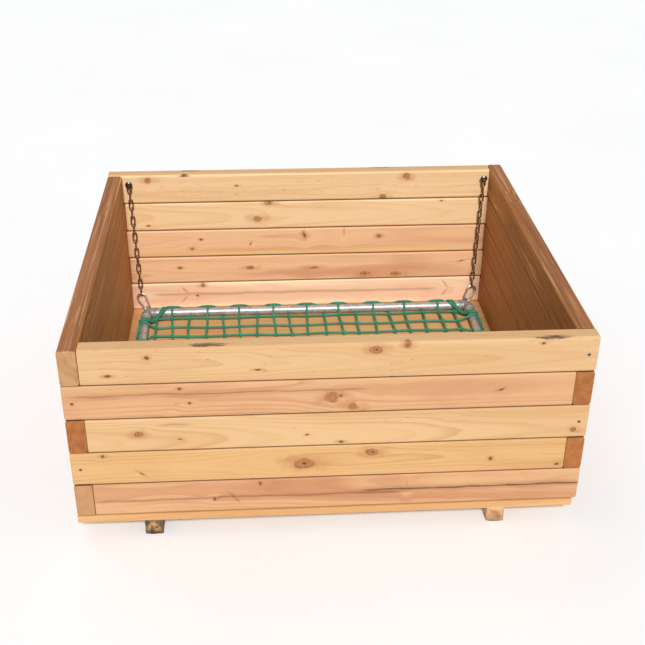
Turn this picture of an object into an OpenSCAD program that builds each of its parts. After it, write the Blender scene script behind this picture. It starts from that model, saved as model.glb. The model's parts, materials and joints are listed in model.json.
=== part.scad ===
// Plank box on two skids, with a pipe frame and rope net as its loose cover.
// The cover hangs on two chains inside the back wall and tilts up like a lid.
// Millimetres, +Z up. The origin is the middle of the footprint, on the ground,
// and the front of the box faces -Y.

/* [Box] */
// Outside width, left to right
box_w = 1250; // [1000:10:1800]
// Outside depth, front to back
box_d = 1100; // [800:10:1500]
// Plank courses in each wall
course_n = 5; // [4:1:6]
// Height of one plank
plank_h = 95; // [80:1:120]
// Thickness of one plank
plank_t = 45; // [38:1:60]
// Rounding of the planks' long edges
plank_round = 8; // [3:1:12]

/* [Base] */
// Thickness of the floor panel
floor_t = 20; // [15:1:30]
// How far the floor panel stops short of the right wall's outer face
floor_short = 10; // [2:1:14]
// Width of a skid
skid_w = 45; // [40:1:80]
// Height of a skid
skid_h = 45; // [30:1:80]
// Left skid's middle, from the left outer face
skid_in_left = 185; // [120:1:260]
// Right skid's middle, from the right outer face
skid_in_right = 203; // [120:1:260]
// Rounding of the skids' long edges
skid_round = 3; // [1:1:6]

/* [Fasteners] */
// Diameter of the corner screws
corner_screw_d = 5; // [4:0.5:8]
// Head diameter of the corner screws
corner_head_d = 8.5; // [7:0.5:14]
// Length of the corner screws
corner_screw_l = 100; // [80:5:140]
// How deep the corner screws' heads are sunk
corner_sink = 1; // [0.5:0.5:4]
// Diameter of the screws under the base
base_screw_d = 5; // [4:0.5:6]
// Head diameter of the screws under the base
base_head_d = 9; // [8:0.5:12]
// Length of the screws up into the walls
base_screw_l = 70; // [50:5:90]
// Length of the screws through the skids
skid_screw_l = 45; // [40:1:48]
// Outer base screws, from the side walls' outer faces
base_screw_edge = 62.5; // [55:0.5:120]
// Inner base screws, left and right of the middle
base_screw_mid = 150; // [80:5:250]
// Side walls' base screws, in front of and behind the middle
base_screw_side = 297; // [150:1:330]
// Outer skid screws, from the skids' ends
skid_screw_edge = 99; // [60:1:130]
// Inner skid screws, in front of and behind the middle
skid_screw_mid = 154; // [80:1:220]
// Diameter of the dowels between courses
dowel_d = 12; // [8:1:16]
// Length of the dowels
dowel_l = 50; // [30:2:70]
// Front and back walls' dowels, left and right of the middle
dowel_x = 300; // [200:5:400]
// Side walls' dowels, in front of and behind the middle
dowel_y = 242; // [120:1:280]

/* [Chains] */
// Wire of a chain link
link_wire = 4; // [3:0.5:5]
// Inside width of a link
link_in_w = 7.4; // [7:0.1:10]
// Pitch of the chain
link_pitch = 28; // [20:1:36]
// Chain's plane, from the back wall
chain_off = 12; // [11:1:20]
// Chain screw, from the side wall
chain_edge = 20; // [18:1:40]
// Least drop of the chain screws below the top edge
screw_drop = 20; // [15:1:60]
// Head diameter of a chain screw
chain_head_d = 22; // [16:1:24]
// Head height of a chain screw
chain_head_h = 5; // [3:0.5:8]
// Thread diameter of a chain screw
chain_screw_d = 8; // [7:0.5:10]
// Depth of a chain screw in the wall
chain_screw_in = 40; // [25:1:42]

/* [Snap hooks] */
// Wire of a snap hook
hook_wire = 6.4; // [5:0.1:6.6]
// Length of a snap hook
hook_l = 62; // [58:1:80]
// Radius of the wide end, to the wire's middle
hook_wide_r = 13; // [12:0.5:16]
// Radius of the narrow end, to the wire's middle
hook_narrow_r = 8.5; // [8:0.5:11]
// Lean of a snap hook towards the box's middle, in degrees
hook_lean = 28; // [10:1:35]
// Diameter of a gate rivet
rivet_d = 2.4; // [2:0.1:3]

/* [Cover frame] */
// Outside diameter of the pipe
pipe_d = 26.9; // [21.3:0.1:33.7]
// Wall of the pipe
pipe_wall = 2.6; // [2:0.1:3.2]
// Side pipes' axis, from the side walls
pipe_side = 47.5; // [40:0.5:70]
// Rear pipe's axis, from the back wall
pipe_back = 60; // [52:1:80]
// Front pipe's axis, from the front wall
pipe_front = 60; // [40:1:90]
// Diameter of the elbows' collars
collar_d = 36; // [34:0.5:44]
// Width of the elbows' collars
collar_w = 8; // [5:1:12]
// Diameter of the elbows' bodies
elbow_d = 33; // [31:0.5:40]
// Elbow's end face, from the corner of the axes
elbow_reach = 33; // [31:1:45]
// How far a pipe goes into an elbow
elbow_grip = 15; // [10:1:16]
// Outside diameter of a welded eye
eye_d = 22; // [18:1:24]
// Hole of a welded eye
eye_hole = 8; // [7.4:0.1:9]
// Thickness of a welded eye
eye_t = 5; // [3:0.5:6]
// Eye's middle, behind the rear pipe's axis
eye_back = 27; // [25:1:30]
// Eye's middle, outside the side pipe's axis
eye_out = 1.5; // [0:0.5:3]

/* [Net] */
// Thickness of the net's cord
cord_d = 6; // [4:0.5:8]
// Mesh across the box
mesh_x = 54.6; // [40:0.1:80]
// Mesh along the box
mesh_y = 54; // [40:0.1:80]
// Least distance of the outer cords from the pipes' axes
net_edge = 40; // [38:1:60]

/* [Clearances] */
// Running gap between links, and at the screws and eyes
link_play = 0.3; // [0.2:0.1:0.5]
// Gap between the cover and what it rests on
rest_gap = 0.3; // [0.2:0.1:0.5]
// Gap between the net's cords and the pipes
net_gap = 0.3; // [0.2:0.1:0.5]
// Gap at a gate's tip and beside its tongue
gate_gap = 0.5; // [0.3:0.1:0.8]

/* [Hidden] */
$fn = 48;
eps = 0.01;
// How far a cut runs past the face it opens
past = 1;
sides = ["left", "right"];
walls = ["front", "back", "left", "right"];
ends = ["front", "back"];

wood_light = "#e8c492";
wood_pink = "#e6b08a";
wood_gold = "#dfa765";
wood_brown = "#a5612f";
wood_floor = "#ecbb78";
wood_grey = "#b08a5c";
steel_bright = "#c9ccd0";
steel_dark = "#6a5648";
screw_dark = "#4a4038";
net_green = "#2f9e78";

// Box levels
floor_z = skid_h;
wall_z = skid_h + floor_t;
box_h = wall_z + course_n * plank_h;
function course_z(k) = wall_z + (course_n - k) * plank_h;
function is_odd(k) = k % 2 == 1;
// -1 for the left side and 1 for the right side
function side_sign(s) = s == "left" ? -1 : 1;
inner_x = box_w / 2 - plank_t;
inner_y = box_d / 2 - plank_t;
mid_x = box_w / 2 - plank_t / 2;
mid_y = box_d / 2 - plank_t / 2;
// How much longer than its dowel a dowel's bore is, and the wood left above a skid screw
dowel_room = 2;
skid_tip_wood = 2;

// Cover frame: the pipes' axes, which lie on the floor but for the rest gap
pipe_x = inner_x - pipe_side;
pipe_y_back = inner_y - pipe_back;
pipe_y_front = -inner_y + pipe_front;
pipe_z = wall_z + collar_d / 2 + rest_gap;
bend_r = elbow_reach - elbow_grip;
eye_x = pipe_x + eye_out;
eye_y = pipe_y_back + eye_back;

// Snap hook, in its own plane: the narrow end's wire meets the eye at the origin
hook_span = hook_l - hook_wire - hook_wide_r - hook_narrow_r;
hook_flare = asin((hook_wide_r - hook_narrow_r) / hook_span);
hook_arm = hook_span * cos(hook_flare);
hook_out = hook_span * sin(hook_lean);
hook_up = hook_narrow_r + hook_span * cos(hook_lean) + hook_wide_r;
chain_y = inner_y - chain_off;
// Lean of the hook's plane, its lower end forward
hook_tip = asin((chain_y - eye_y) / hook_up);
hook_top_x = eye_x + hook_out;
hook_top_z = pipe_z + hook_up * cos(hook_tip);
// The arms are a shade thinner than the bows, and run a little way into them
arm_wire = hook_wire - 0.2;
arm_join = 1;
gate_start = 6;
gate_nose = 5;
gate_d = hook_wire - 0.4;
tongue_t = 2.6;
tongue_w = gate_d - 0.8;
rivet_room = 0.1;

// Chain: as many whole links as fit, and the screw where the first link ends
link_in_l = link_pitch + link_play;
link_half = link_in_l / 2 - link_in_w / 2;
link_n = 1 + floor((box_h - screw_drop - hook_top_z - 2 * link_half) / link_pitch);
chain_l = 2 * link_half + link_pitch * (link_n - 1);
chain_top_x = inner_x - chain_edge;
chain_lean = asin((chain_top_x - hook_top_x) / chain_l);
chain_top_z = hook_top_z + chain_l * cos(chain_lean);
neck_d = link_in_w - 2 * link_play;
head_gap = 1;

// Net: whole meshes that keep clear of the elbows
net_half_x = pipe_x - pipe_d / 2 - net_gap;
net_half_cols = floor((pipe_x - net_edge) / mesh_x);
net_mid_y = (pipe_y_back + pipe_y_front) / 2;
net_half_y = (pipe_y_back - pipe_y_front) / 2 - pipe_d / 2 - net_gap;
net_half_rows = floor((pipe_y_back - net_mid_y - net_edge) / mesh_y + 0.5);

// Bar with rounded long edges, along +X, its cross-section on +Y and +Z
module rounded_bar(length, t, h, r) {
    rotate([90, 0, 90])
        linear_extrude(height = length) {
            translate([r, 0])
                square([t - 2 * r, h]);
            translate([0, r])
                square([t, h - 2 * r]);
            for (x = [r, t - r])
                for (y = [r, h - r])
                    translate([x, y])
                        circle(r = r);
        }
}

module plank(length) {
    rounded_bar(length, plank_t, plank_h, plank_round);
}

// Places its children at a course's level
module at_course(k) {
    translate([0, 0, course_z(k)])
        children();
}

// Mirrors its children left to right in the even courses
module lapped(k) {
    mirror([is_odd(k) ? 0 : 1, 0, 0])
        children();
}

// The four planks of an odd course: each butts one neighbour and laps the next
module lap_front() {
    translate([-inner_x, -box_d / 2, 0])
        plank(box_w - plank_t);
}

module lap_back() {
    rotate([0, 0, 180])
        lap_front();
}

module lap_left() {
    translate([-box_w / 2 + plank_t, -box_d / 2, 0])
        rotate([0, 0, 90])
            plank(box_d - plank_t);
}

module lap_right() {
    rotate([0, 0, 180])
        lap_left();
}

// Countersunk wood screw, its head's top at the origin and its tip up +Z
module wood_screw(d, head_d, length) {
    head_h = (head_d - d) / 2;
    tip_h = d;
    cylinder(d1 = head_d, d2 = d, h = head_h);
    translate([0, 0, head_h - eps])
        cylinder(d = d, h = length - head_h - tip_h + eps);
    translate([0, 0, length - tip_h - eps])
        cylinder(d1 = d, d2 = d / 5, h = tip_h + eps);
}

// The same screw with its drive recess
module driven_screw(d, head_d, length) {
    drive_d = head_d * 0.4;
    drive_h = d * 0.4;
    difference() {
        wood_screw(d, head_d, length);
        translate([0, 0, -eps])
            cylinder(d = drive_d, h = drive_h);
    }
}

// Bore that such a screw fills, with the open mouth above its head
module screw_bore(d, head_d, length, mouth) {
    wood_screw(d, head_d, length);
    translate([0, 0, -mouth])
        cylinder(d = head_d, h = mouth + eps);
}

// Places its children at one corner screw of an odd course, +Z pointing in
module at_corner_screw(wall) {
    z = plank_h / 2;
    if (wall == "front")
        translate([mid_x, -box_d / 2 + corner_sink, z])
            rotate([-90, 0, 0])
                children();
    if (wall == "back")
        translate([-mid_x, box_d / 2 - corner_sink, z])
            rotate([90, 0, 0])
                children();
    if (wall == "left")
        translate([-box_w / 2 + corner_sink, -mid_y, z])
            rotate([0, 90, 0])
                children();
    if (wall == "right")
        translate([box_w / 2 - corner_sink, mid_y, z])
            rotate([0, -90, 0])
                children();
}

// Bores of all the corner screws of a course, but for the lowest course
module corner_bores(k) {
    if (k < course_n)
        at_course(k)
            lapped(k)
                for (w = walls)
                    at_corner_screw(w)
                        screw_bore(corner_screw_d, corner_head_d, corner_screw_l, corner_sink + past);
}

// The corner screws that enter through one wall
module corner_screws(wall) {
    color(screw_dark)
        for (k = [1 : course_n - 1])
            at_course(k)
                lapped(k)
                    at_corner_screw(!is_odd(k) && wall == "left" ? "right"
                        : !is_odd(k) && wall == "right" ? "left" : wall)
                        driven_screw(corner_screw_d, corner_head_d, corner_screw_l);
}

// Places its children at the dowels over the joint below course k
module at_dowels(k) {
    for (p = [[-dowel_x, -mid_y], [dowel_x, -mid_y], [-dowel_x, mid_y], [dowel_x, mid_y],
              [-mid_x, -dowel_y], [-mid_x, dowel_y], [mid_x, -dowel_y], [mid_x, dowel_y]])
        translate([p.x, p.y, course_z(k)])
            children();
}

module dowel_bores(k) {
    for (joint = [max(k - 1, 1) : min(k, course_n - 1)])
        at_dowels(joint)
            cylinder(d = dowel_d, h = dowel_l + dowel_room, center = true);
}

// Places its children at the screws from the floor panel up into the walls
module at_base_screws() {
    outer_x = box_w / 2 - base_screw_edge;
    for (x = [-outer_x, -base_screw_mid, base_screw_mid, outer_x])
        for (y = [-mid_y, mid_y])
            translate([x, y, floor_z])
                children();
    for (x = [-mid_x, mid_x])
        for (y = [-base_screw_side, 0, base_screw_side])
            translate([x, y, floor_z])
                children();
}

// One wall plank with all its bores
module wall_plank(k) {
    difference() {
        at_course(k)
            children();
        corner_bores(k);
        dowel_bores(k);
        if (k == course_n)
            at_base_screws()
                wood_screw(base_screw_d, base_head_d, base_screw_l);
    }
}

module front_plank(k) {
    tones = [wood_light, wood_pink, wood_light, wood_gold, wood_pink, wood_light];
    color(tones[k - 1])
        wall_plank(k)
            lapped(k)
                lap_front();
}

module back_plank(k) {
    tones = [wood_light, wood_light, wood_pink, wood_pink, wood_gold, wood_light];
    color(tones[k - 1])
        difference() {
            wall_plank(k)
                lapped(k)
                    lap_back();
            for (s = sides)
                chain_screw_bore(s);
        }
}

module left_plank(k) {
    color(wood_brown)
        wall_plank(k)
            lapped(k)
                if (is_odd(k)) lap_left();
                else lap_right();
}

module right_plank(k) {
    color(wood_brown)
        wall_plank(k)
            lapped(k)
                if (is_odd(k)) lap_right();
                else lap_left();
}

module floor_panel() {
    color(wood_floor)
        difference() {
            translate([-box_w / 2, -box_d / 2, floor_z])
                cube([box_w - floor_short, box_d, floor_t]);
            at_base_screws()
                screw_bore(base_screw_d, base_head_d, base_screw_l, past);
            for (s = sides)
                at_skid_screws(s)
                    wood_screw(base_screw_d, base_head_d, skid_screw_l);
        }
}

function skid_x(s) = s == "left" ? -box_w / 2 + skid_in_left : box_w / 2 - skid_in_right;

// The skid screws' heads, deep enough for their tips to stay in the floor panel
skid_sink = skid_h + floor_t - skid_tip_wood - skid_screw_l;

module at_skid_screws(s) {
    outer_y = box_d / 2 - skid_screw_edge;
    for (y = [-outer_y, -skid_screw_mid, skid_screw_mid, outer_y])
        translate([skid_x(s), y, skid_sink])
            children();
}

module skid(s) {
    color(wood_grey)
        difference() {
            translate([skid_x(s) + skid_w / 2, -box_d / 2, 0])
                rotate([0, 0, 90])
                    rounded_bar(box_d, skid_w, skid_h, skid_round);
            at_skid_screws(s)
                screw_bore(base_screw_d, base_head_d, skid_screw_l, skid_sink + past);
        }
}

module base_screws() {
    color(screw_dark)
        at_base_screws()
            driven_screw(base_screw_d, base_head_d, base_screw_l);
}

module skid_screws() {
    color(screw_dark)
        for (s = sides)
            at_skid_screws(s)
                driven_screw(base_screw_d, base_head_d, skid_screw_l);
}

module course_dowels() {
    color(wood_light)
        for (k = [1 : course_n - 1])
            at_dowels(k)
                cylinder(d = dowel_d, h = dowel_l, center = true);
}

// Places its children at a chain screw's axis in the chain's plane
module at_chain_top(s) {
    translate([side_sign(s) * chain_top_x, chain_y, chain_top_z])
        children();
}

module chain_screw_bore(s) {
    at_chain_top(s)
        rotate([-90, 0, 0])
            translate([0, 0, chain_off - past])
                cylinder(d = chain_screw_d, h = chain_screw_in + past);
}

// Domed screw whose neck carries the chain's first link
module chain_screw(s) {
    head_in = link_wire / 2 + head_gap;
    drive_d = chain_head_d / 4;
    drive_h = chain_head_h * 0.6;
    dome_r = (chain_head_d * chain_head_d / 4 + chain_head_h * chain_head_h) / (2 * chain_head_h);
    color(screw_dark)
        at_chain_top(s)
            rotate([-90, 0, 0]) {
                cylinder(d = neck_d, h = chain_off);
                translate([0, 0, -head_in - eps])
                    cylinder(d = neck_d, h = head_in + 2 * eps);
                translate([0, 0, chain_off - eps])
                    cylinder(d = chain_screw_d, h = chain_screw_in + eps);
                difference() {
                    intersection() {
                        translate([0, 0, -head_in - chain_head_h + dome_r])
                            sphere(r = dome_r);
                        translate([0, 0, -head_in - chain_head_h])
                            cylinder(d = chain_head_d, h = chain_head_h);
                    }
                    translate([0, 0, -head_in - chain_head_h - eps])
                        cylinder(d = drive_d, h = drive_h);
                }
            }
}

// Round wire bent to an arc in the XZ plane, angles counted from +X to +Z
module wire_arc(r, wire, from, sweep) {
    rotate([90, 0, 0])
        rotate([0, 0, from])
            rotate_extrude(angle = sweep)
                translate([r, 0])
                    circle(d = wire);
}

// Chain link in the XZ plane, centred on the origin
module chain_link() {
    r = (link_in_w + link_wire) / 2;
    for (up = [0, 1])
        mirror([0, 0, up]) {
            translate([0, 0, link_half])
                wire_arc(r, link_wire, 0, 180);
            for (x = [-r, r])
                translate([x, 0, 0])
                    cylinder(d = link_wire, h = link_half);
        }
}

// Link i of a hanging chain, every second one turned by a quarter
module hung_link(s, i) {
    at_chain_top(s)
        rotate([0, side_sign(s) * chain_lean, 0])
            translate([0, 0, -link_half - link_pitch * (i - 1)])
                rotate([0, 0, is_odd(i) ? 0 : 90])
                    chain_link();
}

module chain(s) {
    color(steel_dark)
        for (i = [1 : link_n - 1])
            hung_link(s, i);
}

module end_link(s) {
    color(steel_dark)
        hung_link(s, link_n);
}

// Places its children in a hook's plane: +X outwards, +Z towards the wide end,
// and the origin where the narrow end's wire lies in the eye
module at_hook(s) {
    translate([side_sign(s) * eye_x, eye_y, pipe_z])
        mirror([s == "left" ? 1 : 0, 0, 0])
            rotate([-hook_tip, 0, 0])
                translate([0, 0, hook_narrow_r])
                    rotate([0, hook_lean, 0])
                        children();
}

// Places its children at the gate's end of the narrow bow, +Z along the arm
module at_inner_arm() {
    rotate([0, -90 - hook_flare, 0])
        translate([0, 0, hook_narrow_r])
            rotate([0, 90, 0])
                children();
}

module at_gate_pin() {
    at_inner_arm()
        translate([0, 0, gate_start])
            children();
}

module hook_rivet(s) {
    color(steel_bright)
        at_hook(s)
            at_gate_pin()
                rotate([90, 0, 0])
                    cylinder(d = rivet_d, h = hook_wire, center = true);
}

module hook(s) {
    slot = tongue_t + 2 * link_play;
    color(steel_bright)
        at_hook(s)
            difference() {
                union() {
                    wire_arc(hook_narrow_r, hook_wire, 180 + hook_flare, 180 - 2 * hook_flare);
                    translate([0, 0, hook_span])
                        wire_arc(hook_wide_r, hook_wire, -hook_flare, 180 + 2 * hook_flare);
                    rotate([0, 90 + hook_flare, 0])
                        translate([0, 0, hook_narrow_r])
                            rotate([0, -90, 0])
                                translate([0, 0, -arm_join])
                                    cylinder(d = arm_wire, h = hook_arm + 2 * arm_join);
                    at_inner_arm() {
                        translate([0, 0, -arm_join])
                            cylinder(d = arm_wire, h = arm_join + gate_start + hook_wire / 2);
                        translate([0, 0, hook_arm - gate_nose])
                            cylinder(d = arm_wire, h = gate_nose + arm_join);
                    }
                }
                at_gate_pin() {
                    translate([-hook_wire, -slot / 2, -hook_wire / 2])
                        cube([2 * hook_wire, slot, 2 * hook_wire]);
                    rotate([90, 0, 0])
                        cylinder(d = rivet_d, h = 2 * hook_wire, center = true);
                }
            }
}

module hook_gate(s) {
    gate_from = hook_wire / 2 + gate_gap;
    gate_to = hook_arm - gate_start - gate_nose - gate_gap;
    color(steel_bright)
        at_hook(s)
            at_gate_pin()
                difference() {
                    union() {
                        translate([0, 0, gate_from])
                            cylinder(d = gate_d, h = gate_to - gate_from);
                        translate([-tongue_w / 2, -tongue_t / 2, 0])
                            cube([tongue_w, tongue_t, gate_from + arm_join]);
                        rotate([90, 0, 0])
                            cylinder(d = tongue_w, h = tongue_t, center = true);
                    }
                    rotate([90, 0, 0])
                        cylinder(d = rivet_d + rivet_room, h = hook_wire, center = true);
                }
}

// Hollow pipe along +X, centred on the origin
module pipe(length) {
    rotate([0, 90, 0])
        difference() {
            cylinder(d = pipe_d, h = length, center = true);
            cylinder(d = pipe_d - 2 * pipe_wall, h = length + 2 * past, center = true);
        }
}

module cross_pipe(y) {
    color(steel_bright)
        translate([0, y, pipe_z])
            pipe(2 * (pipe_x - bend_r));
}

module side_pipe(s) {
    color(steel_bright)
        translate([side_sign(s) * pipe_x, net_mid_y, pipe_z])
            rotate([0, 0, 90])
                pipe(pipe_y_back - pipe_y_front - 2 * bend_r);
}

// Elbow's outer shape, the corner of its axes at the origin, legs on +X and +Y
module elbow_shape() {
    translate([bend_r, bend_r, 0])
        rotate([0, 0, 180])
            rotate_extrude(angle = 90)
                translate([bend_r, 0])
                    circle(d = elbow_d);
    for (turn = [0, 90])
        mirror([turn == 0 ? 0 : 1, turn == 0 ? 0 : -1, 0])
            translate([bend_r, 0, 0])
                rotate([0, 90, 0]) {
                    cylinder(d = elbow_d, h = elbow_grip);
                    translate([0, 0, elbow_grip - collar_w])
                        cylinder(d = collar_d, h = collar_w);
                }
}

// The elbow's bend, and the sockets that the pipes fill
module elbow_passage() {
    translate([bend_r, bend_r, 0])
        rotate([0, 0, 180])
            rotate_extrude(angle = 90)
                translate([bend_r, 0])
                    circle(d = pipe_d - 2 * pipe_wall);
    for (turn = [0, 90])
        mirror([turn == 0 ? 0 : 1, turn == 0 ? 0 : -1, 0])
            translate([bend_r, 0, 0])
                rotate([0, 90, 0])
                    cylinder(d = pipe_d, h = elbow_grip + past);
}

// Places its children at a corner of the cover, their legs along its pipes
module at_cover_corner(end, s) {
    y = end == "front" ? pipe_y_front : pipe_y_back;
    translate([side_sign(s) * pipe_x, y, pipe_z])
        mirror([s == "left" ? 0 : 1, 0, 0])
            mirror([0, end == "front" ? 0 : 1, 0])
                children();
}

module elbow(end, s) {
    color(steel_bright)
        at_cover_corner(end, s)
            difference() {
                elbow_shape();
                elbow_passage();
            }
}

// Flat eye welded to the back of a rear elbow
module eye(s) {
    tab_h = eye_d * 0.7;
    color(steel_bright)
        difference() {
            translate([side_sign(s) * eye_x, eye_y, pipe_z])
                difference() {
                    union() {
                        rotate([0, 90, 0])
                            cylinder(d = eye_d, h = eye_t, center = true);
                        translate([-eye_t / 2, -eye_back, -tab_h / 2])
                            cube([eye_t, eye_back, tab_h]);
                    }
                    rotate([0, 90, 0])
                        cylinder(d = eye_hole, h = 2 * eye_t, center = true);
                }
            at_cover_corner("back", s) {
                elbow_shape();
                elbow_passage();
            }
        }
}

// The net, drawn flat and square, its cords ending beside the pipes
module net() {
    color(net_green)
        translate([0, net_mid_y, pipe_z - cord_d / 2])
            linear_extrude(height = cord_d) {
                for (i = [-net_half_cols : net_half_cols])
                    translate([i * mesh_x, 0])
                        square([cord_d, 2 * net_half_y], center = true);
                for (j = [0.5 : 1 : net_half_rows - 0.5])
                    for (way = [-1, 1])
                        translate([0, way * j * mesh_y])
                            square([2 * net_half_x, cord_d], center = true);
            }
}

for (k = [1 : course_n]) {
    front_plank(k);
    back_plank(k);
    left_plank(k);
    right_plank(k);
}
for (w = walls)
    corner_screws(w);
for (s = sides) {
    skid(s);
    chain_screw(s);
    chain(s);
    end_link(s);
    hook(s);
    hook_gate(s);
    hook_rivet(s);
    side_pipe(s);
    eye(s);
    for (e = ends)
        elbow(e, s);
}
floor_panel();
base_screws();
skid_screws();
course_dowels();
cross_pipe(pipe_y_front);  // front_pipe
cross_pipe(pipe_y_back);  // back_pipe
net();
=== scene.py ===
"""Looks of the plank box with its hanging net cover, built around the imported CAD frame.

Metres, +Z up. The box's front faces -Y, and the origin is the middle of its footprint.
"""

import json
import math
import random

import bmesh
import bpy
import numpy as np
from mathutils import Matrix, Vector, noise


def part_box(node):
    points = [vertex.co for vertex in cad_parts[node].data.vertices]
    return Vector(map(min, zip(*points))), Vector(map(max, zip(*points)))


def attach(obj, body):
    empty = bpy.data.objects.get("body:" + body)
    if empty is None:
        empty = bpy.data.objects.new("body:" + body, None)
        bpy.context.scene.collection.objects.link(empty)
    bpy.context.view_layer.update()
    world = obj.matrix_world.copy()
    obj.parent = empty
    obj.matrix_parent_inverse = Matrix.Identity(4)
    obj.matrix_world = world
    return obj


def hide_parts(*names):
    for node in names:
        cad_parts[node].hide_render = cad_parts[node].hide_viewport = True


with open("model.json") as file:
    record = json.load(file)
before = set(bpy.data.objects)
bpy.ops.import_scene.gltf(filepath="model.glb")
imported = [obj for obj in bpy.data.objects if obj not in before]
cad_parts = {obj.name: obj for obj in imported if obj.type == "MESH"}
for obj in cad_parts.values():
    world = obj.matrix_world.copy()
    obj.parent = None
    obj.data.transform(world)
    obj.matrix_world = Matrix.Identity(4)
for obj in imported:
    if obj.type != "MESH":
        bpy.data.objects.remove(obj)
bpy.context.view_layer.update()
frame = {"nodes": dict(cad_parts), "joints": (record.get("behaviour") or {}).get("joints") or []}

# Sizes that the frame doesn't give, in metres. First the net's cord and its braid.
CORD_R = 0.0034
CORD_STEP = 0.0022
CORD_GAP = 0.0004
FLAT_HALF = 0.0021
BRAID_SIDES = 12
BRAID_STRANDS = 3
BRAID_PITCH = 0.0074
BRAID_DEPTH = 0.09
CROSSING_SWELL = 0.32
CROSSING_REACH = 0.0052

# How the net's cords lie. Columns run from back to front, rows from side to side.
COLUMN_PITCH = 0.0546
COLUMNS_PER_SIDE = 9
ROW_PITCH = 0.054
ROWS_PER_SIDE = 8
NET_SAG = 0.006
NET_DROP = 0.003
COLUMN_WANDER = 0.0035
COLUMN_LEAN = 0.0012
ROW_WANDER = 0.0028
EDGE_ZIGZAG = 0.0065
ZIGZAG_ROWS = 0.8
OVER_ANGLES = (2.35, 1.95, 1.55, 1.15, 0.75, 0.35)

# The tie at each crossing, and the border cord with its corner lashings
KNOT_RISE = 0.0013
KNOT_STEPS = 18
KNOT_SIDES = 6
KNOT_TIP = 0.0012
KNOT_HALF_W = 0.0043
KNOT_HALF_H = 0.005
KNOT_CORD_R = 0.0019
BORDER_R = 0.0038
BORDER_GAP = 0.0006
BORDER_HUMP = 0.026
BORDER_POINT = 0.009
BORDER_END = -0.012
BORDER_ANGLES = (18, 46, 30)
LASHING_STRANDS = 3
LASHING_STEP = 0.0062

# Chains, chain screws, elbows and skids
LINK_WIRE_R = 0.002
LINK_INNER_W = 0.0074
LINK_PITCH = 0.028
LINK_PLAY = 0.0003
CHAIN_LINKS = 13
WELD_SWELL = 0.16
WELD_REACH = 0.0022
DOME_H = 0.005
DRIVE_R = 0.0034
DRIVE_DEPTH = 0.003
THREAD_R = 0.004
THREAD_RIDGES = 14
ELBOW_R = 0.0165
ELBOW_BEAD_R = 0.018
ELBOW_BEAD_W = 0.008
ELBOW_GRIP = 0.015
SKID_ROUND = 0.003
SKID_ROUGH = 0.0009
SKID_END_WEAR = 0.0016
FINE_RINGS_TO = 0.12
RIGHT_SKID_NOTCH = (0.004, 0.03, 0.009)
FLOOR_HALF = 30


# ---------------------------------------------------------------- camera and light

# Metres, radians, and millimetres for the lens and its sensor
CAMERA_PLACE = Vector((-0.1655, -2.609, 1.772))
CAMERA_DOWN = math.radians(29.635)
CAMERA_YAW = math.radians(3.959)
CAMERA_ROLL = math.radians(0.466)
CAMERA_LENS = 58.85
CAMERA_SENSOR = 36


def make_camera():
    """The photo's viewpoint."""
    data = bpy.data.cameras.new("camera")
    data.lens = CAMERA_LENS
    data.sensor_width = CAMERA_SENSOR
    forward = Vector((
        math.sin(CAMERA_YAW) * math.cos(CAMERA_DOWN),
        math.cos(CAMERA_YAW) * math.cos(CAMERA_DOWN),
        -math.sin(CAMERA_DOWN),
    ))
    level = Vector((math.cos(CAMERA_YAW), -math.sin(CAMERA_YAW), 0))
    up = level.cross(forward)
    right = level * math.cos(CAMERA_ROLL) + up * math.sin(CAMERA_ROLL)
    up = right.cross(forward)
    turn = Matrix((right, up, -forward)).transposed()
    camera = bpy.data.objects.new("camera", data)
    camera.matrix_world = Matrix.Translation(CAMERA_PLACE) @ turn.to_4x4()
    bpy.context.scene.collection.objects.link(camera)
    bpy.context.scene.camera = camera


def sun_light(name, towards, width, strength, colour):
    """Light from the direction towards, width degrees across."""
    data = bpy.data.lights.new(name, "SUN")
    data.angle = math.radians(width)
    data.energy = strength
    data.color = colour
    light = bpy.data.objects.new(name, data)
    light.rotation_euler = (-Vector(towards)).to_track_quat("-Z", "Y").to_euler()
    bpy.context.scene.collection.objects.link(light)


def make_lights():
    """A wide soft key from above the camera, a weak one from behind, and a pale room."""
    sun_light("key", (0.02, -1.0, 0.9), 9, 3.0, (1, 0.98, 0.95))
    sun_light("back", (-0.4, 0.9, 1.2), 35, 0.3, (1, 1, 1))
    world = bpy.data.worlds.new("studio")
    world.use_nodes = True
    background = world.node_tree.nodes["Background"]
    background.inputs["Color"].default_value = (1, 1, 1, 1)
    background.inputs["Strength"].default_value = 0.35
    bpy.context.scene.world = world
    bpy.context.scene.view_settings.view_transform = "Standard"


# ---------------------------------------------------------------- material helpers

def linear(code):
    """Linear colour of an sRGB hex code such as "#aabbcc"."""
    parts = [int(code[i:i + 2], 16) / 255 for i in (1, 3, 5)]
    return [c / 12.92 if c <= 0.04045 else ((c + 0.055) / 1.055) ** 2.4 for c in parts] + [1]


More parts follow.
